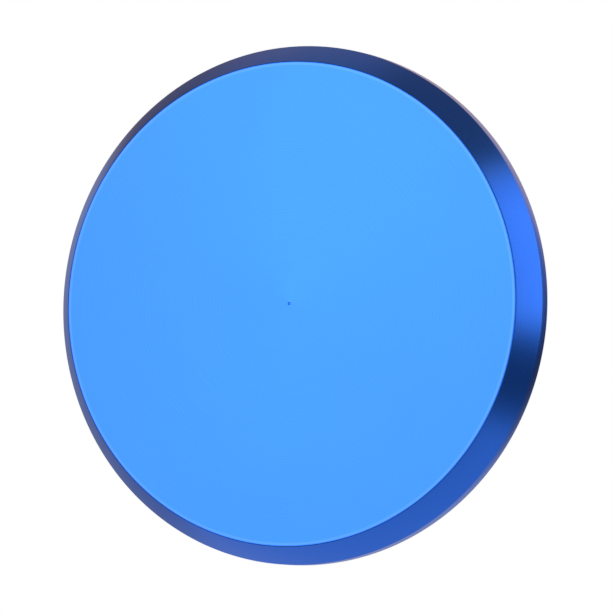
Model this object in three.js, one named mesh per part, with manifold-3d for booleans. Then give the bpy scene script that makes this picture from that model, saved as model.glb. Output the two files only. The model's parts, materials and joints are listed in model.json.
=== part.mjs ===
// A disc air stone, 100 mm across, lying closed face down with its porous plate up.
// Millimetres, +Z up. The origin is the centre of the closed face, which it rests on.
//
// Air comes in at the barb, goes down the hollow stem and out through the ports in
// the boss into the chamber, and leaves through the porous plate. A screwed clamp
// ring holds the plate's outer edge, and the stem's hex flange holds its inner edge.

import * as THREE from 'three';
import { mergeVertices } from 'three/addons/utils/BufferGeometryUtils.js';
import Module from 'manifold-3d';

const wasm = await Module();
wasm.setup();

// Driving dimensions of the housing.
const discRadius = 50;
const faceRadius = 46.6;
const chamferHeight = 5.2;
const bandHeight = 3;
const floorThickness = 2.6;
const chamberDepth = 5;
const ledgeWidth = 4.2;

// The stack that the clamp ring squeezes.
const plateRadius = 41.5;
const plateThickness = 3.2;
const gasketThickness = 0.8;
const slipRingThickness = 0.5;
const ringThickness = 1.6;
const ringLipOverlap = 3.5;
const ringRadius = 46.7;
const neckWall = 2.6;

// The inlet in the middle.
const bossRadius = 9;
const shankRadius = 4;
const shankEndClearance = 1.2;
const plateBoreRadius = 4.9;
const sealInnerRadius = 4.6;
const sealOuterRadius = 8.6;
const washerRadius = 9.4;
const washerThickness = 1.2;
const oRingSection = 0.4;
const hexAcrossFlats = 14;
const hexHeight = 4;
const barbRootRadius = 2.9;
const barbCrestRadius = 3.5;
const barbPitch = 4;
const barbCount = 3;
const barbNeck = 2.4;
const boreRadius = 1.75;

// Details.
const portWidth = 2.4;
const portHeight = 1.8;
const portCount = 4;
const gripCount = 24;
const gripCutterRadius = 2.2;
const gripDepth = 0.7;
const spannerHoleCount = 4;
const spannerHoleRadius = 1.5;
const spannerHoleDepth = 0.9;

// Clearances: between faces that press together, and between parts that slide or turn.
const seatGap = 0.05;
const runningGap = 0.3;

const largeSegments = 72;
const smallSegments = 48;
const pinSegments = 16;

// Heights worked out from the stack, from the closed face up.
const rimTop = chamferHeight + bandHeight;
const ledgeTop = floorThickness + chamberDepth;
const lowerGasketBottom = ledgeTop + seatGap;
const plateBottom = lowerGasketBottom + gasketThickness + seatGap;
const plateTop = plateBottom + plateThickness;
const upperGasketBottom = plateTop + seatGap;
const slipRingBottom = upperGasketBottom + gasketThickness + seatGap;
const lipBottom = slipRingBottom + slipRingThickness + seatGap;
const ringTop = lipBottom + ringThickness;
const neckTop = lipBottom - runningGap;
const washerBottom = upperGasketBottom + gasketThickness + seatGap;
const hexBottom = washerBottom + washerThickness + seatGap;
const hexTop = hexBottom + hexHeight;

// Radii worked out from the plate.
const neckInnerRadius = plateRadius + runningGap;
const neckRadius = neckInnerRadius + neckWall;
const chamberRadius = neckInnerRadius - ledgeWidth;
const lipInnerRadius = plateRadius - ringLipOverlap;
const gasketInnerRadius = chamberRadius + runningGap + seatGap;

// A solid turned about Z from [radius, height] points, anticlockwise round the section.
function turned(profile, segments) {
  const points = profile.map(([radius, height]) => new THREE.Vector2(radius, height));
  const geometry = new THREE.LatheGeometry(points, segments);
  return geometry.rotateX(Math.PI / 2);
}

// A washer: a flat ring of rectangular section.
function flatRing(innerRadius, outerRadius, bottom, thickness, segments) {
  const top = bottom + thickness;
  const section = [
    [innerRadius, bottom],
    [outerRadius, bottom],
    [outerRadius, top],
    [innerRadius, top],
    [innerRadius, bottom],
  ];
  return turned(section, segments);
}

// An upright cylinder, or a prism if it has few segments.
function uprightCylinder(radius, bottom, top, segments) {
  const geometry = new THREE.CylinderGeometry(radius, radius, top - bottom, segments);
  return geometry.rotateX(Math.PI / 2).translate(0, 0, (bottom + top) / 2);
}

function toManifold(geometry) {
  const bare = geometry.clone();
  bare.deleteAttribute('normal');
  bare.deleteAttribute('uv');
  const merged = mergeVertices(bare);
  const corners = Array.from(merged.index.array);
  const kept = [];
  for (let i = 0; i < corners.length; i += 3) {
    const [a, b, c] = corners.slice(i, i + 3);
    if (a !== b && b !== c && c !== a) kept.push(a, b, c);
  }
  const mesh = new wasm.Mesh({
    numProp: 3,
    vertProperties: Float32Array.from(merged.attributes.position.array),
    triVerts: Uint32Array.from(kept),
  });
  return new wasm.Manifold(mesh);
}

function toGeometry(manifold) {
  const mesh = manifold.getMesh();
  const geometry = new THREE.BufferGeometry();
  geometry.setAttribute('position', new THREE.BufferAttribute(mesh.vertProperties, 3));
  geometry.setIndex(new THREE.BufferAttribute(mesh.triVerts, 1));
  geometry.computeVertexNormals();
  return geometry;
}

// The body with every cutter taken out of it.
function cut(body, cutters) {
  let result = toManifold(body);
  for (const cutter of cutters) {
    result = result.subtract(toManifold(cutter));
  }
  return toGeometry(result);
}

// The same shape at equal steps round Z.
function aroundZ(count, make) {
  return Array.from({ length: count }, (_, i) => make().rotateZ((i * 2 * Math.PI) / count));
}

// The turned housing: closed face, chamfer and band outside; neck, ledge, air chamber
// and tapped boss inside, with radial ports from the boss into the chamber.
function baseHousing() {
  const tappedRadius = shankRadius + runningGap;
  const outline = [
    [0, 0],
    [faceRadius, 0],
    [discRadius, chamferHeight],
    [discRadius, rimTop],
    [neckRadius, rimTop],
    [neckRadius, neckTop],
    [neckInnerRadius, neckTop],
    [neckInnerRadius, ledgeTop],
    [chamberRadius, ledgeTop],
    [chamberRadius, floorThickness],
    [bossRadius, floorThickness],
    [bossRadius, ledgeTop],
    [tappedRadius, ledgeTop],
    [tappedRadius, floorThickness],
    [0, floorThickness],
  ];
  const portLength = bossRadius - tappedRadius + 1;
  const portMiddle = (bossRadius + tappedRadius) / 2;
  const ports = aroundZ(portCount, () => {
    const port = new THREE.BoxGeometry(portLength, portWidth, portHeight);
    return port.translate(portMiddle, 0, floorThickness + portHeight / 2);
  });
  return cut(turned(outline, largeSegments), ports);
}

// The clamp ring: a skirt that screws over the neck, a lip that presses the plate's
// edge down, grip flutes round the side and holes for a pin spanner on top.
function clampRing() {
  const skirtInnerRadius = neckRadius + runningGap;
  const skirtBottom = rimTop + runningGap;
  const topBevel = 0.6;
  const lipBevel = 1;
  const outline = [
    [skirtInnerRadius, skirtBottom],
    [ringRadius, skirtBottom],
    [ringRadius, ringTop - topBevel],
    [ringRadius - topBevel, ringTop],
    [lipInnerRadius + lipBevel, ringTop],
    [lipInnerRadius, ringTop - lipBevel],
    [lipInnerRadius, lipBottom],
    [skirtInnerRadius, lipBottom],
    [skirtInnerRadius, skirtBottom],
  ];
  const gripMiddle = ringRadius + gripCutterRadius - gripDepth;
  const grips = aroundZ(gripCount, () => {
    const flute = uprightCylinder(gripCutterRadius, skirtBottom - 1, ringTop + 1, pinSegments);
    return flute.translate(gripMiddle, 0, 0);
  });
  const holeMiddle = (lipInnerRadius + lipBevel + ringRadius - gripDepth) / 2;
  const holeBottom = ringTop - spannerHoleDepth;
  const holes = aroundZ(spannerHoleCount, () => {
    const hole = uprightCylinder(spannerHoleRadius, holeBottom, ringTop + 1, pinSegments);
    return hole.translate(holeMiddle, 0, 0).rotateZ(Math.PI / spannerHoleCount);
  });
  return cut(turned(outline, largeSegments), [...grips, ...holes]);
}

// The hex flange of the inlet, with the corners turned off at both ends.
function hexFlange() {
  const cornerRadius = hexAcrossFlats / 2 / Math.cos(Math.PI / 6);
  const bevelRadius = hexAcrossFlats / 2 - 0.2;
  const bevelHeight = (cornerRadius - bevelRadius) * Math.tan(Math.PI / 6);
  const envelope = [
    [0, hexBottom],
    [bevelRadius, hexBottom],
    [cornerRadius + 0.1, hexBottom + bevelHeight],
    [cornerRadius + 0.1, hexTop - bevelHeight],
    [bevelRadius, hexTop],
    [0, hexTop],
  ];
  const prism = uprightCylinder(cornerRadius, hexBottom, hexTop, 6);
  return toManifold(prism).intersect(toManifold(turned(envelope, smallSegments)));
}

// The hollow inlet stem: threaded shank, hex flange and hose barb in one piece.
function inletStem() {
  const shankBottom = floorThickness + shankEndClearance;
  const shankBevel = 0.5;
  const firstBarb = hexTop + barbNeck;
  const outline = [
    [0, shankBottom],
    [shankRadius - shankBevel, shankBottom],
    [shankRadius, shankBottom + shankBevel],
    [shankRadius, hexBottom + 1],
    [barbRootRadius, hexBottom + 1],
  ];
  for (let i = 0; i < barbCount; i += 1) {
    const bottom = firstBarb + i * barbPitch;
    const crestBand = 0.5;
    outline.push([barbRootRadius, bottom]);
    outline.push([barbCrestRadius, bottom]);
    outline.push([barbCrestRadius, bottom + crestBand]);
    outline.push([barbRootRadius, bottom + barbPitch]);
  }
  const tip = firstBarb + barbCount * barbPitch;
  outline.push([barbRootRadius - 0.4, tip + 0.6]);
  outline.push([0, tip + 0.6]);
  const bore = uprightCylinder(boreRadius, shankBottom - 1, tip + 2, smallSegments);
  const solid = toManifold(turned(outline, smallSegments)).add(hexFlange());
  return toGeometry(solid.subtract(toManifold(bore)));
}

// The O-ring that seals the shank in the washer's bore.
function stemORing() {
  const circleRadius = shankRadius + seatGap + oRingSection;
  const ring = new THREE.TorusGeometry(circleRadius, oRingSection, 12, smallSegments);
  return ring.translate(0, 0, washerBottom + washerThickness / 2);
}

function outerGasket(bottom) {
  return flatRing(gasketInnerRadius, plateRadius, bottom, gasketThickness, largeSegments);
}

function centreGasket(bottom) {
  return flatRing(sealInnerRadius, sealOuterRadius, bottom, gasketThickness, smallSegments);
}

const finishes = {
  anodised: { color: 0x2f7fe0, roughness: 0.3, metalness: 1 },
  ceramic: { color: 0xe9e4d8, roughness: 0.95, metalness: 0 },
  rubber: { color: 0x26272a, roughness: 0.8, metalness: 0 },
  slip: { color: 0xf1f1ee, roughness: 0.5, metalness: 0 },
  stainless: { color: 0xb9bcc0, roughness: 0.25, metalness: 1 },
};

function part(name, geometry, finish) {
  const mesh = new THREE.Mesh(geometry, new THREE.MeshStandardMaterial(finishes[finish]));
  mesh.name = name;
  return mesh;
}

const airStone = new THREE.Group();
airStone.add(
  part('base_housing', baseHousing(), 'anodised'),
  part('outer_lower_gasket', outerGasket(lowerGasketBottom), 'rubber'),
  part('centre_lower_gasket', centreGasket(lowerGasketBottom), 'rubber'),
  part(
    'ceramic_plate',
    flatRing(plateBoreRadius, plateRadius, plateBottom, plateThickness, largeSegments),
    'ceramic',
  ),
  part('outer_upper_gasket', outerGasket(upperGasketBottom), 'rubber'),
  part(
    'slip_ring',
    flatRing(gasketInnerRadius, plateRadius, slipRingBottom, slipRingThickness, largeSegments),
    'slip',
  ),
  part('clamp_ring', clampRing(), 'anodised'),
  part('centre_upper_gasket', centreGasket(upperGasketBottom), 'rubber'),
  part(
    'centre_washer',
    flatRing(plateBoreRadius, washerRadius, washerBottom, washerThickness, smallSegments),
    'stainless',
  ),
  part('stem_o_ring', stemORing(), 'rubber'),
  part('inlet_stem', inletStem(), 'stainless'),
);

export default airStone;
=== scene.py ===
import json
import math

import bmesh
import bpy
from mathutils import Matrix, Vector


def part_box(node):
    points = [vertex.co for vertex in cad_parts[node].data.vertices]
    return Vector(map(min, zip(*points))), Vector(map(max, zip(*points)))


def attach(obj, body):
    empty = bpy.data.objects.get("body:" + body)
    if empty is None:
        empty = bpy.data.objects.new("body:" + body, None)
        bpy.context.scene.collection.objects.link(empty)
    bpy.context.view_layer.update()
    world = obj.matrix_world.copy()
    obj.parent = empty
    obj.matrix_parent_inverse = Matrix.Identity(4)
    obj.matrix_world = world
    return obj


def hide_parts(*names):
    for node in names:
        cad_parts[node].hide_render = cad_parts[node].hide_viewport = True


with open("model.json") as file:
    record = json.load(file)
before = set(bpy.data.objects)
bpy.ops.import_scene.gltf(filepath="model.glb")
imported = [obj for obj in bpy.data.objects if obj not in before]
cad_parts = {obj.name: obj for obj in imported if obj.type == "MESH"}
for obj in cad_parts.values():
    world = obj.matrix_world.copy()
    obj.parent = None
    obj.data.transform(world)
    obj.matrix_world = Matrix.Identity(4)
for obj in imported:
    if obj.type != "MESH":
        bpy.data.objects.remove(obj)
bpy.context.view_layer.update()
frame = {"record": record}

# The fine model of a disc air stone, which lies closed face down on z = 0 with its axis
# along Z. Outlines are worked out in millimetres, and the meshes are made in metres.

MM = 0.001
TURN = 2 * math.pi
WORLD_UP = Vector((0, 0, 1))

# ---------------------------------------------------------------- sizes, in millimetres


def radius_of(node):
    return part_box(node)[1][0] / MM


def bottom_of(node):
    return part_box(node)[0][2] / MM


def top_of(node):
    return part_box(node)[1][2] / MM


def height_of_mount(name):
    mount = next(mount for mount in frame["record"]["mounts"] if mount["name"] == name)
    return mount["pos_m"][2] / MM


# Clearances: between faces that press together, and between parts that slide or turn.
SEAT_GAP = 0.05
RUNNING_GAP = 0.3

# The housing, from the outside in.
DISC_RADIUS = radius_of("base_housing")
FACE_RADIUS = 46.6
CHAMFER_HEIGHT = 5.2
RIM_TOP = bottom_of("clamp_ring") - RUNNING_GAP
NECK_WALL = 2.6
NECK_INNER_RADIUS = radius_of("ceramic_plate") + RUNNING_GAP
NECK_RADIUS = NECK_INNER_RADIUS + NECK_WALL
NECK_TOP = top_of("base_housing")
LEDGE_WIDTH = 4.2
LEDGE_TOP = bottom_of("outer_lower_gasket") - SEAT_GAP
CHAMBER_RADIUS = NECK_INNER_RADIUS - LEDGE_WIDTH
FLOOR_TOP = 2.6
BOSS_RADIUS = 9
PORT_COUNT = 4
PORT_WIDTH = 2.4
PORT_HEIGHT = 1.8

# The centre mark and the edges of the face, of the chamfer's top and of the rim's top.
PIP_RADIUS = 0.3
PIP_DEPTH = 0.25
FACE_EDGE = 0.45
CHAMFER_EDGE = 0.35
RIM_EDGE = 0.3
# Width of the lighter band along the face's edge: partly thinner dye, partly a painted highlight.
SHEEN_AND_WEAR_WIDTH = 0.75

# The clamp ring.
RING_RADIUS = 46.7
RING_BOTTOM = bottom_of("clamp_ring")
RING_TOP = top_of("clamp_ring")
RING_BEVEL = 0.6
RING_EDGE = 0.2
LIP_EDGE = 0.1
LIP_THICKNESS = 1.6
LIP_OVERLAP = 3.5
LIP_RADIUS = radius_of("ceramic_plate") - LIP_OVERLAP
LIP_BOTTOM = RING_TOP - LIP_THICKNESS
LIP_BEVEL = 1
SKIRT_INNER_RADIUS = NECK_RADIUS + RUNNING_GAP
GRIP_COUNT = 24
GRIP_DEPTH = 0.7
GRIP_CUTTER_RADIUS = 2.2
SPANNER_HOLE_COUNT = 4
SPANNER_HOLE_RADIUS = 1.5
SPANNER_HOLE_DEPTH = 0.9
COUNTERSINK = 0.2

# The inlet stem, from the bottom up.
SHANK_RADIUS = 4
SHANK_BOTTOM = bottom_of("inlet_stem")
SHANK_LEAD_IN = 0.6
TAPPED_RADIUS = SHANK_RADIUS + RUNNING_GAP
HEX_APOTHEM = radius_of("inlet_stem")
HEX_BEVEL_RADIUS = HEX_APOTHEM - 0.2
HEX_CORNER_RADIUS = HEX_APOTHEM / math.cos(math.pi / 6) - 0.12
HEX_BOTTOM = top_of("centre_washer") + SEAT_GAP
HEX_TOP = height_of_mount("hose_stop")
NOZZLE_FOOT = 0.3
NOZZLE_FOOT_MIDDLE = 0.09
BARB_ROOT = 2.9
BARB_CREST = 3.5
BARB_NECK = 2.4
BARB_PITCH = 4
BARB_BAND = 0.5
BARB_COUNT = 3
BARB_ROOT_FILLET = 0.12
BARB_CREST_EDGE = 0.1
BORE_RADIUS = 1.75
BORE_COUNTERSINK = 0.25
STEM_TOP = top_of("inlet_stem")
STEM_TOP_TAPER = 0.4
STEM_TOP_EDGE = 0.15
BORE_MOUTH_EDGE = 0.1
BORE_EDGE = 0.05

# The screw threads. The neck's and the ring's run out to the radius of their roots.
THREAD_PITCH = 1.0
THREAD_RUNOUT = 0.05
NECK_THREAD_DEPTH = 0.55
RING_THREAD_DEPTH = 0.3
SHANK_THREAD_DEPTH = 0.5

# The flat rings: their holes and the radii of their edges.
OUTER_SEAL_RADIUS = CHAMBER_RADIUS + RUNNING_GAP + SEAT_GAP
CENTRE_SEAL_RADIUS = 4.6
PLATE_BORE_RADIUS = 4.9
PLATE_EDGE = 0.2
SEAL_EDGE = 0.15
WASHER_EDGE = 0.15
SLIP_RING_EDGE = 0.08

# ---------------------------------------------------------------- camera


def look_from_below():
    """The photograph's view: square on to the closed face, then tilted, with a long lens."""
    tilt = math.radians(23.07)
    roll = math.radians(8.4)
    distance = 1.491
    face_aside = 3.24 * MM
    face_above = 0.48 * MM
    out_of_face = Vector((0, 0, -1))
    back = Vector((0, -math.sin(tilt), -math.cos(tilt)))
    leaning = (out_of_face - back * out_of_face.dot(back)).normalized()
    across = back.cross(leaning)
    right = -math.cos(roll) * leaning - math.sin(roll) * across
    up = math.sin(roll) * leaning - math.cos(roll) * across
    data = bpy.data.cameras.new("camera")
    data.lens = 457.4
    data.clip_start = 0.01
    data.clip_end = 200
    camera = bpy.data.objects.new("camera", data)
    bpy.context.collection.objects.link(camera)
    place = back * distance + right * face_aside - up * face_above
    turn = Matrix((right, up, back)).transposed().to_4x4()
    camera.matrix_world = Matrix.Translation(place) @ turn
    bpy.context.scene.camera = camera


# ---------------------------------------------------------------- node helpers


class Nodes:
    """A node tree with short calls for the few kinds of node used here."""

    def __init__(self, tree):
        self.tree = tree
        self.tree.nodes.clear()

    def add(self, kind, **settings):
        node = self.tree.nodes.new(kind)
        for key, value in settings.items():
            setattr(node, key, value)
        return node

    def plug(self, socket, value):
        if isinstance(value, bpy.types.NodeSocket):
            self.tree.links.new(value, socket)
        else:
            socket.default_value = value

    def math(self, operation, *values):
        node = self.add("ShaderNodeMath", operation=operation)
        for socket, value in zip(node.inputs, values):
            self.plug(socket, value)
        return node.outputs[0]

    def vector(self, operation, *vectors):
        node = self.add("ShaderNodeVectorMath", operation=operation)
        for socket, vector in zip(node.inputs, vectors):
            self.plug(socket, vector)
        return node.outputs["Value" if operation in ("DOT_PRODUCT", "LENGTH") else "Vector"]

    def step(self, value, low, high):
        """0 below low, 1 above high, smooth between."""
        node = self.add("ShaderNodeMapRange", interpolation_type="SMOOTHSTEP")
        self.plug(node.inputs["Value"], value)
        node.inputs["From Min"].default_value = low
        node.inputs["From Max"].default_value = high
        return node.outputs["Result"]

    def blend(self, weight, a, b):
        node = self.add("ShaderNodeMix", data_type="FLOAT")
        self.plug(node.inputs["Factor"], weight)
        self.plug(node.inputs["A"], a)
        self.plug(node.inputs["B"], b)
        return node.outputs["Result"]

    def blend_colour(self, weight, a, b):
        node = self.add("ShaderNodeMix", data_type="RGBA")
        sockets = [s for s in node.inputs if s.type == "RGBA"]
        self.plug(node.inputs["Factor"], weight)
        self.plug(sockets[0], a)
        self.plug(sockets[1], b)
        return next(s for s in node.outputs if s.type == "RGBA")

    def height(self, place):
        apart = self.add("ShaderNodeSeparateXYZ")
        self.plug(apart.inputs[0], place)
        return apart.outputs["Z"]

    def flattened(self, place):
        return self.vector("MULTIPLY", place, (1, 1, 0))

    def distance_from_axis(self, place):
        return self.vector("LENGTH", self.flattened(place))


# ---------------------------------------------------------------- studio

# Azimuths go from the camera's side, anticlockwise as the photograph shows them, in
# degrees. The closed face reflects the camera's view to FACE_MIRROR.


def compass(azimuth, elevation=0):
    a = math.radians(azimuth)
    e = math.radians(elevation)
    return Vector((-math.sin(a) * math.cos(e), -math.cos(a) * math.cos(e), math.sin(e)))


FACE_MIRROR = compass(180, -67)

# Cards that stand round the object: first and last azimuth, softness of the side edges,
# and brightness. Later cards stand in front of earlier ones.
WALL_BRIGHTNESS = 0.5
SHADED_SIDE = (54, 166, 6)
CARDS = [
    ((-135, -15, 25), 0.7),
    ((-176, -136, 12), 0.38),
    (SHADED_SIDE, 0.16),
    ((105, 135, 14), 0.3),
    ((2, 49, 12), 1.5),
    ((-22, -2, 10), 0.13),
]
NEUTRAL = (0.8, 0.8, 0.8, 1)
WARM = (1.4, 1.0, 0.77, 1)

# Elevations between which the walls give way to the ceiling, the gutter and the table.
CEILING_EDGE = (54, 60)
GUTTER_EDGE = (-14, -10)
TABLE_EDGE = (-46, -36)
GUTTER_BRIGHTNESS = 0.1

# The ceiling is dark on the camera's side.
CAMERA_SIDE = (-45, 45, 35)
CEILING_BRIGHTNESS = 0.6
DARK_CEILING_BRIGHTNESS = 0.06

# The table has a bright pool round FACE_MIRROR: the angles from there at which it is
# whole and at which it ends, its brightness in the middle, how that rises towards one
# azimuth, and how it rises both ways along another.
TABLE_BRIGHTNESS = 0.9
POOL_WHOLE = 4
POOL_END = 36
POOL_BRIGHTNESS = 2.76
POOL_SLOPE = 1.45
POOL_SLOPE_AZIMUTH = 78
POOL_CURVE = 2.2
POOL_CURVE_AZIMUTH = 75


def above(n, height, start, end):
    """0 below one elevation, 1 above another, smooth between."""
    return n.step(height, math.sin(math.radians(start)), math.sin(math.radians(end)))


def card(n, level, start, end, softness):
    """1 where a tall card stands between two azimuths, 0 elsewhere, with soft side edges."""
    half_width = (end - start) / 2
    facing = n.vector("DOT_PRODUCT", level, compass((start + end) / 2))
    low = math.cos(math.radians(half_width + softness))
    high = math.cos(math.radians(max(half_width - softness, 0)))
    return n.step(facing, low, high)


def ceiling_light(n, level):
    over_camera = card(n, level, *CAMERA_SIDE)
    return n.blend(over_camera, CEILING_BRIGHTNESS, DARK_CEILING_BRIGHTNESS)


def table_light(n, direction):
    """The table with its pool, which the closed face reflects."""
    from_mirror = n.vector("SUBTRACT", direction, FACE_MIRROR)
    toward = n.vector("DOT_PRODUCT", from_mirror, compass(POOL_SLOPE_AZIMUTH))
    across = n.vector("DOT_PRODUCT", from_mirror, compass(POOL_CURVE_AZIMUTH))
    bright = n.math("MULTIPLY_ADD", toward, POOL_SLOPE, POOL_BRIGHTNESS)
    bright = n.math("MULTIPLY_ADD", n.math("MULTIPLY", across, across), POOL_CURVE, bright)
    nearness = n.vector("DOT_PRODUCT", direction, FACE_MIRROR)
    pool = n.step(nearness, math.cos(math.radians(POOL_END)), math.cos(math.radians(POOL_WHOLE)))
    return n.blend(pool, TABLE_BRIGHTNESS, bright)


def studio_light():
    """White paper behind the object, as the camera sees it. The object is lit by grey
    walls with pale and dark cards in front of them, a ceiling, a dark gutter round the
    foot of the walls, and a table with a bright pool in it."""
    world = bpy.data.worlds.new("studio")
    world.use_nodes = True
    bpy.context.scene.world = world
    n = Nodes(world.node_tree)
    direction = n.add("ShaderNodeTexCoord").outputs["Generated"]
    height = n.height(direction)
    level = n.vector("NORMALIZE", n.flattened(direction))

    light = WALL_BRIGHTNESS
    for place, brightness in CARDS:
        light = n.blend(card(n, level, *place), light, brightness)
    light = n.blend(above(n, height, *CEILING_EDGE), light, ceiling_light(n, level))
    over_gutter = above(n, height, *GUTTER_EDGE)
    light = n.blend(over_gutter, GUTTER_BRIGHTNESS, light)
    light = n.blend(above(n, height, *TABLE_EDGE), table_light(n, direction), light)

    studio = n.add("ShaderNodeBackground")
    warmth = n.math("MULTIPLY", card(n, level, *SHADED_SIDE), over_gutter)
    n.plug(studio.inputs["Color"], n.blend_colour(warmth, NEUTRAL, WARM))
    n.plug(studio.inputs["Strength"], light)
    paper = n.add("ShaderNodeBackground")
    paper.inputs["Color"].default_value = (1, 1, 1, 1)
    seen = n.add("ShaderNodeLightPath").outputs["Is Camera Ray"]
    choose = n.add("ShaderNodeMixShader")
    n.plug(choose.inputs[0], seen)
    n.plug(choose.inputs[1], studio.outputs[0])
    n.plug(choose.inputs[2], paper.outputs[0])
    out = n.add("ShaderNodeOutputWorld")
    n.plug(out.inputs["Surface"], choose.outputs[0])


def pale_floor():
    """A floor that is there from above only, so that the view from below passes through.
    The metal doesn't reflect it, so that the closed face can reflect the studio."""
    half = 40
    drop = 0.05 * MM
    mesh = bpy.data.meshes.new("floor")
    corners = [(-half, -half, 0), (half, -half, 0), (half, half, 0), (-half, half, 0)]
    mesh.from_pydata(corners, [], [(0, 1, 2, 3)])
    floor = bpy.data.objects.new("floor", mesh)
    floor.location.z = -drop
    bpy.context.collection.objects.link(floor)
    floor.visible_diffuse = False
    floor.visible_glossy = False
    floor.visible_transmission = False
    floor.visible_shadow = False
    material = bpy.data.materials.new("floor")
    material.use_nodes = True
    n = Nodes(material.node_tree)
    paint = n.add("ShaderNodeBsdfDiffuse")
    paint.inputs["Color"].default_value = (0.82, 0.82, 0.82, 1)
    nothing = n.add("ShaderNodeBsdfTransparent")
    choose = n.add("ShaderNodeMixShader")
    n.plug(choose.inputs[0], n.add("ShaderNodeNewGeometry").outputs["Backfacing"])
    n.plug(choose.inputs[1], paint.outputs[0])
    n.plug(choose.inputs[2], nothing.outputs[0])
    out = n.add("ShaderNodeOutputMaterial")
    n.plug(out.inputs["Surface"], choose.outputs[0])
    mesh.materials.append(material)


def overhead_light():
    """A soft lamp a long way off, so that the whole floor is evenly bright. It leaves no
    highlight of its own: what shines in the metal is the studio."""
    data = bpy.data.lights.new("overhead", "SUN")
    data.energy = 2.4
    data.angle = math.radians(35)
    lamp = bpy.data.objects.new("overhead", data)
    lamp.rotation_euler = compass(150, 60).to_track_quat("Z", "Y").to_euler()
    lamp.visible_glossy = False
    bpy.context.collection.objects.link(lamp)


# ---------------------------------------------------------------- materials


def new_material(name):
    material = bpy.data.materials.new(name)
    material.use_nodes = True
    n = Nodes(material.node_tree)
    shader = n.add("ShaderNodeBsdfPrincipled")
    out = n.add("ShaderNodeOutputMaterial")
    n.plug(out.inputs["Surface"], shader.outputs["BSDF"])
    place = n.add("ShaderNodeTexCoord").outputs["Object"]
    return material, n, shader, place


def noise(n, place, scale, detail=2):
    node = n.add("ShaderNodeTexNoise")
    n.plug(node.inputs["Vector"], place)
    node.inputs["Scale"].default_value = scale
    node.inputs["Detail"].default_value = detail
    return node.outputs["Fac"]


def bump(n, shader, height, distance, base=None):
    """Bumps on the shader's surface, on top of the base bumps if there are any."""
    node = n.add("ShaderNodeBump")
    node.inputs["Strength"].default_value = 1
    node.inputs["Distance"].default_value = distance
    n.plug(node.inputs["Height"], height)
    if base is not None:
        n.plug(node.inputs["Normal"], base)
    n.plug(shader.inputs["Normal"], node.outputs[0])
    return node.outputs[0]


def tool_marks(n, place, spacing):
    """Fine rings left by the lathe: noise that depends only on radius and height."""
    ring = n.add("ShaderNodeCombineXYZ")
    n.plug(ring.inputs["X"], n.distance_from_axis(place))
    n.plug(ring.inputs["Z"], n.height(place))
    return noise(n, ring.outputs[0], 1 / spacing, 3)


def turned_finish(n, shader, anisotropy):
    """Reflections that stretch across the tool marks."""
    shader.inputs["Anisotropic"].default_value = anisotropy
    shader.inputs["Anisotropic Rotation"].default_value = 0.25
    round_z = n.add("ShaderNodeTangent", direction_type="RADIAL", axis="Z")
    n.plug(shader.inputs["Tangent"], round_z.outputs[0])


def anodised_blue(name, cut_lean=None, sheen_and_wear_from=None):
    """Turned and dyed aluminium. cut_lean is the slope of the tool marks' flanks. Out from the
    edge radius given, the colour is lighter: partly thinner dye, as along a sharp edge, and partly
    a painted highlight along the edge."""
    material, n, shader, place = new_material(name)
    colour = n.blend_colour(noise(n, place, 60), (0.015, 0.175, 0.96, 1), (0.017, 0.185, 0.98, 1))
    # Lighter colour along the edge: partly thinner dye, partly a painted highlight.
    if sheen_and_wear_from is not None:
        sheen_and_wear = n.step(n.distance_from_axis(place), sheen_and_wear_from, sheen_and_wear_from + 0.15 * MM)
        colour = n.blend_colour(sheen_and_wear, colour, (0.04, 0.205, 0.98, 1))
    n.plug(shader.inputs["Base Color"], colour)
    shader.inputs["Metallic"].default_value = 1
    marks = tool_marks(n, place, 0.3 * MM)
    n.plug(shader.inputs["Roughness"], n.blend(marks, 0.25, 0.31))
    shader.inputs["Coat Weight"].default_value = 0.55
    shader.inputs["Coat Roughness"].default_value = 0.2
    turned_finish(n, shader, 0.6)
    lean = None
    if cut_lean is not None:
        lean = bump(n, shader, n.distance_from_axis(place), cut_lean)
    bump(n, shader, marks, 0.003 * MM, base=lean)
    return material


def porous_ceramic():
    """Sintered grains: warm white, matt, each grain a little lighter or darker, with pores painted
    darker as shade in them.
    """
    material, n, shader, place = new_material("porous ceramic")
    grain = n.add("ShaderNodeTexVoronoi", feature="F1")
    n.plug(grain.inputs["Vector"], place)
    grain.inputs["Scale"].default_value = 1 / (0.36 * MM)
    domed = n.step(grain.outputs["Distance"], 0.8, 0.1)
    apart = n.add("ShaderNodeSeparateXYZ")
    n.plug(apart.inputs[0], grain.outputs["Color"])
    pale = n.blend_colour(apart.outputs["X"], (0.62, 0.59, 0.53, 1), (0.86, 0.84, 0.79, 1))
    cloud = n.blend_colour(noise(n, place, 90, 4), (0.68, 0.65, 0.59, 1), (0.84, 0.82, 0.77, 1))
    mixed = n.blend_colour(0.5, pale, cloud)
    pore = n.step(noise(n, place, 1 / (0.45 * MM)), 0.42, 0.3)
    # The pores' darker colour is painted shade in the holes.
    n.plug(shader.inputs["Base Color"], n.blend_colour(pore, mixed, (0.44, 0.41, 0.36, 1)))
    n.plug(shader.inputs["Roughness"], n.blend(pore, 0.85, 1))
    shader.inputs["Specular IOR Level"].default_value = 0.25
    grains = bump(n, shader, domed, 0.07 * MM)
    bump(n, shader, pore, -0.12 * MM, base=grains)
    return material


def moulded_rubber():
    """Black, matt and finely rough, with a faint grey bloom."""
    material, n, shader, place = new_material("moulded rubber")
    bloom = noise(n, place, 150, 3)
    colour = n.blend_colour(bloom, (0.012, 0.012, 0.013, 1), (0.026, 0.026, 0.028, 1))
    n.plug(shader.inputs["Base Color"], colour)
    n.plug(shader.inputs["Roughness"], n.blend(bloom, 0.55, 0.8))
    bump(n, shader, noise(n, place, 1 / (0.2 * MM)), 0.02 * MM)
    return material


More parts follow.
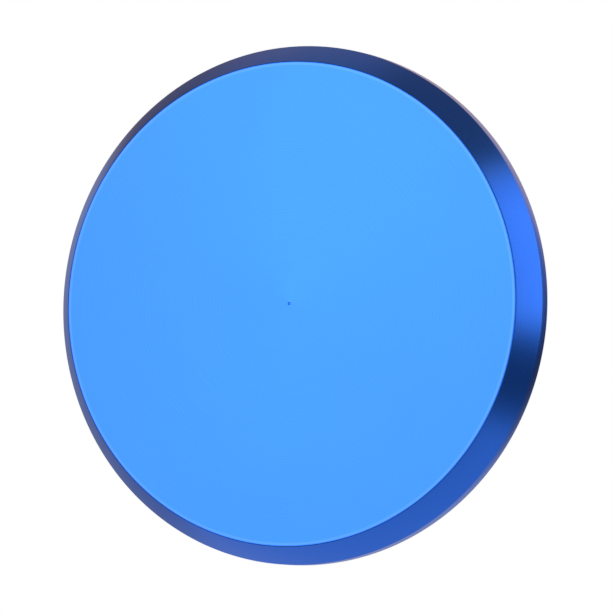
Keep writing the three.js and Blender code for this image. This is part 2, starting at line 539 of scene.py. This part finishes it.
def white_acetal():
    """Satin white plastic with the marks of the lathe."""
    material, n, shader, place = new_material("white acetal")
    cloud = noise(n, place, 120)
    colour = n.blend_colour(cloud, (0.8, 0.8, 0.78, 1), (0.87, 0.87, 0.85, 1))
    n.plug(shader.inputs["Base Color"], colour)
    n.plug(shader.inputs["Roughness"], n.blend(cloud, 0.38, 0.5))
    bump(n, shader, tool_marks(n, place, 0.2 * MM), 0.01 * MM)
    return material


def turned_stainless():
    """Bright steel with finer tool marks than the aluminium's."""
    material, n, shader, place = new_material("turned stainless")
    marks = tool_marks(n, place, 0.12 * MM)
    colour = n.blend_colour(noise(n, place, 200), (0.56, 0.55, 0.53, 1), (0.64, 0.63, 0.61, 1))
    n.plug(shader.inputs["Base Color"], colour)
    shader.inputs["Metallic"].default_value = 1
    n.plug(shader.inputs["Roughness"], n.blend(marks, 0.16, 0.3))
    turned_finish(n, shader, 0.4)
    bump(n, shader, marks, 0.006 * MM)
    return material


# ---------------------------------------------------------------- outlines

# An outline is a list of (radius, height) points in millimetres, to be turned about Z.

# A square corner's fillet bends by 22.5 degrees at each step, which is shaded smooth. The
# hex's bevel bends by 30 degrees, which isn't.
FILLET_STEPS = 4
SHARP_ANGLE = math.radians(26)


def fillet(corner, before, after, radius):
    """Points of an arc that rounds the corner between two straight stretches."""
    corner, before, after = Vector(corner), Vector(before), Vector(after)
    a = (before - corner).normalized()
    b = (after - corner).normalized()
    half = a.angle(b) / 2
    inward = (a + b).normalized()
    centre = corner + inward * (radius / math.sin(half))
    side = math.copysign(math.pi / 2 - half, a.angle_signed(b))
    points = []
    for i in range(FILLET_STEPS + 1):
        angle = side * (1 - 2 * i / FILLET_STEPS)
        x = -inward.x * math.cos(angle) - inward.y * math.sin(angle)
        y = inward.x * math.sin(angle) - inward.y * math.cos(angle)
        points.append((centre.x + radius * x, centre.y + radius * y))
    return points


def rounded(corners, closed=False):
    """An outline from (radius, height, fillet) corners. A fillet of 0 leaves a corner sharp,
    and so do the two ends of an open outline."""
    points = []
    places = [corner[:2] for corner in corners]
    last = len(corners) - 1
    for i, (place, corner) in enumerate(zip(places, corners)):
        radius = corner[2]
        at_end = not closed and i in (0, last)
        if radius == 0 or at_end:
            points.append(place)
        else:
            points += fillet(place, places[i - 1], places[(i + 1) % len(places)], radius)
    return points


def thread(angle, start, end, rows, crest, root, phase=0):
    """Points along a right-hand thread at one angle, from one height to another, between
    the radii of its crests and roots. phase shifts it along by a part of the pitch."""
    points = []
    for i in range(rows + 1):
        height = start + (end - start) * i / rows
        part = (height / THREAD_PITCH + phase - angle / TURN) % 1
        nearness_to_crest = min(1, max(0, 1.25 - 3 * abs(part - 0.5)))
        points.append((root + (crest - root) * nearness_to_crest, height))
    return points


# ---------------------------------------------------------------- meshes

# Steps round a full turn, and how far a cutter sticks out of what it cuts.
FINE_STEPS = 360
O_RING_STEPS = 120
O_RING_SIDES = 20
DRILL_STEPS = 48
CUT_THROUGH = 1


def equal_angles(steps):
    return [TURN * i / steps for i in range(steps)]


def smooth(mesh):
    for polygon in mesh.polygons:
        polygon.use_smooth = True
    mesh.set_sharp_from_angle(angle=SHARP_ANGLE)


def new_piece(name, bm):
    mesh = bpy.data.meshes.new(name)
    bm.to_mesh(mesh)
    bm.free()
    piece = bpy.data.objects.new(name, mesh)
    bpy.context.collection.objects.link(piece)
    return piece


def ring_faces(bm, here, there, closed):
    """Quads between the outline at one angle and the outline at the next."""
    count = len(here)
    for j in range(count if closed else count - 1):
        k = (j + 1) % count
        bm.faces.new((here[j], there[j], there[k], here[k]))


def revolve(name, section, angles, material, closed=True):
    """A solid turned about Z. section(angle) gives its outline, which is closed or has both
    ends on the axis."""
    bm = bmesh.new()
    rings = []
    for angle in angles:
        across = Vector((math.cos(angle), math.sin(angle), 0)) * MM
        rings.append([bm.verts.new(across * r + WORLD_UP * h * MM) for r, h in section(angle)])
    for i, ring in enumerate(rings):
        ring_faces(bm, ring, rings[(i + 1) % len(rings)], closed)
    bmesh.ops.remove_doubles(bm, verts=bm.verts, dist=1e-5 * MM)
    bmesh.ops.recalc_face_normals(bm, faces=bm.faces)
    piece = new_piece(name, bm)
    piece.data.materials.append(material)
    smooth(piece.data)
    return piece


def subtract(piece, tool):
    """Cuts a tool's shape out of a piece, and throws the tool away."""
    modifier = piece.modifiers.new("cut", "BOOLEAN")
    modifier.operation = "DIFFERENCE"
    modifier.object = tool
    graph = bpy.context.evaluated_depsgraph_get()
    mesh = bpy.data.meshes.new_from_object(piece.evaluated_get(graph))
    piece.modifiers.clear()
    piece.data = mesh
    bpy.data.objects.remove(tool)
    smooth(mesh)


def finish_piece(piece, node, body):
    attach(piece, body)
    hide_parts(node)


# ---------------------------------------------------------------- pieces


def flat_ring(node, inner_radius, edge, body, material):
    """A washer, gasket or plate with rounded edges, where its CAD node is."""
    outer_radius = radius_of(node)
    bottom = bottom_of(node)
    top = top_of(node)
    outline = rounded([
        (inner_radius, bottom, edge),
        (outer_radius, bottom, edge),
        (outer_radius, top, edge),
        (inner_radius, top, edge),
    ], closed=True)
    piece = revolve(node + "_fine", lambda angle: outline, equal_angles(FINE_STEPS), material)
    finish_piece(piece, node, body)


def housing(material, face_material):
    """The turned dish, with its threaded neck, ledge, air chamber and tapped boss."""
    thread_root = NECK_RADIUS - NECK_THREAD_DEPTH
    thread_bottom = RIM_TOP + 0.6
    thread_top = NECK_TOP - 0.4
    thread_rows = 28
    outside = rounded([
        (PIP_RADIUS, 0, 0),
        (FACE_RADIUS, 0, FACE_EDGE),
        (DISC_RADIUS, CHAMFER_HEIGHT, CHAMFER_EDGE),
        (DISC_RADIUS, RIM_TOP, RIM_EDGE),
        (thread_root, RIM_TOP, 0),
    ])
    inside = [
        (thread_root, NECK_TOP),
        (NECK_INNER_RADIUS, NECK_TOP),
        (NECK_INNER_RADIUS, LEDGE_TOP),
        (CHAMBER_RADIUS, LEDGE_TOP),
        (CHAMBER_RADIUS, FLOOR_TOP),
        (BOSS_RADIUS, FLOOR_TOP),
        (BOSS_RADIUS, LEDGE_TOP),
        (TAPPED_RADIUS, LEDGE_TOP),
        (TAPPED_RADIUS, FLOOR_TOP),
        (0, FLOOR_TOP),
    ]

    def section(angle):
        screw = thread(angle, thread_bottom, thread_top, thread_rows, NECK_RADIUS, thread_root)
        runout_below = (thread_root, thread_bottom - THREAD_RUNOUT)
        runout_above = (thread_root, thread_top + THREAD_RUNOUT)
        return [(0, PIP_DEPTH)] + outside + [runout_below] + screw + [runout_above] + inside

    angles = equal_angles(FINE_STEPS)
    piece = revolve("housing_fine", section, angles, material, closed=False)
    paint_closed_face(piece, face_material)
    cut_air_ports(piece)
    finish_piece(piece, "base_housing", "housing")


def paint_closed_face(piece, material):
    piece.data.materials.append(material)
    for polygon in piece.data.polygons:
        on_face = polygon.center.z < 0.01 * MM
        looks_down = polygon.normal.z < -0.999
        if on_face and looks_down:
            polygon.material_index = 1


def cut_air_ports(piece):
    """Slots through the boss's wall, which let the air from the stem into the chamber."""
    length = BOSS_RADIUS - TAPPED_RADIUS + CUT_THROUGH
    middle = (BOSS_RADIUS + TAPPED_RADIUS) / 2
    size = Matrix.Diagonal((length * MM, PORT_WIDTH * MM, PORT_HEIGHT * MM, 1))
    place = Matrix.Translation(Vector((middle, 0, FLOOR_TOP + PORT_HEIGHT / 2)) * MM)
    for angle in equal_angles(PORT_COUNT):
        bm = bmesh.new()
        bmesh.ops.create_cube(bm, size=1, matrix=Matrix.Rotation(angle, 4, "Z") @ place @ size)
        subtract(piece, new_piece("cutter", bm))


def flute_depth(angle):
    """How far the grip flutes cut into the ring's side at an angle, with soft edges."""
    spacing = TURN / GRIP_COUNT
    edge_softness = 0.015
    aside = ((angle + spacing / 2) % spacing - spacing / 2) * RING_RADIUS
    depth = GRIP_DEPTH - aside * aside / (2 * GRIP_CUTTER_RADIUS)
    return (depth + math.sqrt(depth * depth + edge_softness)) / 2


def fluted_angles():
    """Close together across each grip flute, and further apart between them."""
    spacing = TURN / GRIP_COUNT
    fine = math.radians(0.25)
    fine_steps = 12
    coarse_steps = 5
    edge = fine * fine_steps
    coarse = (spacing - 2 * edge) / coarse_steps
    offsets = [fine * i for i in range(-fine_steps, fine_steps + 1)]
    offsets += [edge + coarse * i for i in range(1, coarse_steps)]
    return [flute + offset for flute in equal_angles(GRIP_COUNT) for offset in offsets]


def clamp_ring(material):
    """A threaded skirt with grip flutes, and a lip that holds the plate's edge down."""
    thread_root = SKIRT_INNER_RADIUS + RING_THREAD_DEPTH
    thread_bottom = RING_BOTTOM + 0.4
    thread_top = LIP_BOTTOM - 0.6
    thread_rows = 24

    def section(angle):
        side = RING_RADIUS - flute_depth(angle)
        outside = rounded([
            (thread_root, RING_BOTTOM, 0),
            (side, RING_BOTTOM, RING_EDGE),
            (side, RING_TOP - RING_BEVEL, RING_EDGE),
            (side - RING_BEVEL, RING_TOP, RING_EDGE),
            (LIP_RADIUS + LIP_BEVEL, RING_TOP, RING_EDGE),
            (LIP_RADIUS, RING_TOP - LIP_BEVEL, RING_EDGE),
            (LIP_RADIUS, LIP_BOTTOM, LIP_EDGE),
            (SKIRT_INNER_RADIUS, LIP_BOTTOM, 0),
        ])
        crest = SKIRT_INNER_RADIUS
        screw = thread(angle, thread_top, thread_bottom, thread_rows, crest, thread_root, phase=0.5)
        runout_below = (thread_root, thread_bottom - THREAD_RUNOUT)
        return outside + screw + [runout_below]

    piece = revolve("clamp_ring_fine", section, fluted_angles(), material)
    drill_spanner_holes(piece)
    finish_piece(piece, "clamp_ring", "clamp_ring")


def drill_spanner_holes(piece):
    """Blind holes for a pin spanner in the top of the ring, with countersunk mouths."""
    middle = (LIP_RADIUS + LIP_BEVEL + RING_RADIUS - GRIP_DEPTH) / 2
    hole_bottom = RING_TOP - SPANNER_HOLE_DEPTH
    outline = [
        (0, hole_bottom),
        (SPANNER_HOLE_RADIUS, hole_bottom),
        (SPANNER_HOLE_RADIUS, RING_TOP - COUNTERSINK),
        (SPANNER_HOLE_RADIUS + 2 * COUNTERSINK, RING_TOP + COUNTERSINK),
        (0, RING_TOP + COUNTERSINK),
    ]
    material = piece.data.materials[0]
    half_step = math.pi / SPANNER_HOLE_COUNT
    steps = equal_angles(DRILL_STEPS)
    for angle in equal_angles(SPANNER_HOLE_COUNT):
        drill = revolve("drill", lambda a: outline, steps, material, closed=False)
        out = Vector((math.cos(angle + half_step), math.sin(angle + half_step), 0))
        drill.location = out * middle * MM
        subtract(piece, drill)


def o_ring(material):
    low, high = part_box("stem_o_ring")
    section_radius = (high[2] - low[2]) / 2 / MM
    middle_radius = high[0] / MM - section_radius
    middle_height = (low[2] + high[2]) / 2 / MM
    outline = []
    for t in equal_angles(O_RING_SIDES):
        radius = middle_radius + section_radius * math.cos(t)
        outline.append((radius, middle_height + section_radius * math.sin(t)))
    piece = revolve("stem_o_ring_fine", lambda angle: outline, equal_angles(O_RING_STEPS), material)
    finish_piece(piece, "stem_o_ring", "inlet_stem")


def nozzle_outline():
    """Up the barbed outside of the hose nozzle, and down through the bore to the far end."""
    first_barb = HEX_TOP + BARB_NECK
    corners = [
        (BARB_ROOT + NOZZLE_FOOT, HEX_TOP, 0),
        (BARB_ROOT + NOZZLE_FOOT_MIDDLE, HEX_TOP + NOZZLE_FOOT_MIDDLE, 0),
        (BARB_ROOT, HEX_TOP + NOZZLE_FOOT, 0),
    ]
    for i in range(BARB_COUNT):
        step = first_barb + i * BARB_PITCH
        corners += [
            (BARB_ROOT, step, BARB_ROOT_FILLET),
            (BARB_CREST, step, BARB_CREST_EDGE),
            (BARB_CREST, step + BARB_BAND, 0),
        ]
    corners += [
        (BARB_ROOT, first_barb + BARB_COUNT * BARB_PITCH, 0),
        (BARB_ROOT - STEM_TOP_TAPER, STEM_TOP, STEM_TOP_EDGE),
        (BORE_RADIUS + BORE_COUNTERSINK, STEM_TOP, BORE_MOUTH_EDGE),
        (BORE_RADIUS, STEM_TOP - BORE_COUNTERSINK, BORE_EDGE),
        (BORE_RADIUS, SHANK_BOTTOM, 0),
    ]
    return rounded(corners)


def inlet_stem(material):
    """Threaded shank, hex flange with its corners turned off, and barbed hose nozzle."""
    thread_root = SHANK_RADIUS - SHANK_THREAD_DEPTH
    thread_bottom = SHANK_BOTTOM + 0.7
    thread_top = HEX_BOTTOM - 1.6
    plain_from = thread_top + 0.4
    thread_rows = 44
    nozzle = nozzle_outline()

    def section(angle):
        from_flat = (angle + math.pi / 6) % (math.pi / 3) - math.pi / 6
        corner = min(HEX_APOTHEM / math.cos(from_flat), HEX_CORNER_RADIUS)
        rise = (corner - HEX_BEVEL_RADIUS) * math.tan(math.pi / 6)
        screw = thread(angle, thread_bottom, thread_top, thread_rows, SHANK_RADIUS, thread_root)
        end = [(SHANK_RADIUS - SHANK_LEAD_IN, SHANK_BOTTOM)]
        plain = [(SHANK_RADIUS, plain_from), (SHANK_RADIUS, HEX_BOTTOM)]
        flange = [
            (HEX_BEVEL_RADIUS, HEX_BOTTOM),
            (corner, HEX_BOTTOM + rise),
            (corner, HEX_TOP - rise),
            (HEX_BEVEL_RADIUS, HEX_TOP),
        ]
        return end + screw + plain + flange + nozzle

    piece = revolve("inlet_stem_fine", section, equal_angles(FINE_STEPS), material)
    finish_piece(piece, "inlet_stem", "inlet_stem")


# ---------------------------------------------------------------- the scene

bpy.context.scene.view_settings.view_transform = "Standard"
look_from_below()
studio_light()
pale_floor()
overhead_light()

blue = anodised_blue("anodised blue")
# The closed face is lighter along its edge: partly thinner dye, partly a painted highlight.
face_sheen_and_wear_radius = (FACE_RADIUS - SHEEN_AND_WEAR_WIDTH) * MM
blue_face = anodised_blue("anodised blue face", cut_lean=-0.04, sheen_and_wear_from=face_sheen_and_wear_radius)
ceramic = porous_ceramic()
rubber = moulded_rubber()
acetal = white_acetal()
stainless = turned_stainless()

housing(blue, blue_face)
clamp_ring(blue)
inlet_stem(stainless)
o_ring(rubber)
flat_ring("ceramic_plate", PLATE_BORE_RADIUS, PLATE_EDGE, "housing", ceramic)
for gasket in ("outer_lower_gasket", "outer_upper_gasket"):
    flat_ring(gasket, OUTER_SEAL_RADIUS, SEAL_EDGE, "housing", rubber)
for gasket in ("centre_lower_gasket", "centre_upper_gasket"):
    flat_ring(gasket, CENTRE_SEAL_RADIUS, SEAL_EDGE, "housing", rubber)
flat_ring("slip_ring", OUTER_SEAL_RADIUS, SLIP_RING_EDGE, "slip_ring", acetal)
flat_ring("centre_washer", PLATE_BORE_RADIUS, WASHER_EDGE, "centre_washer", stainless)
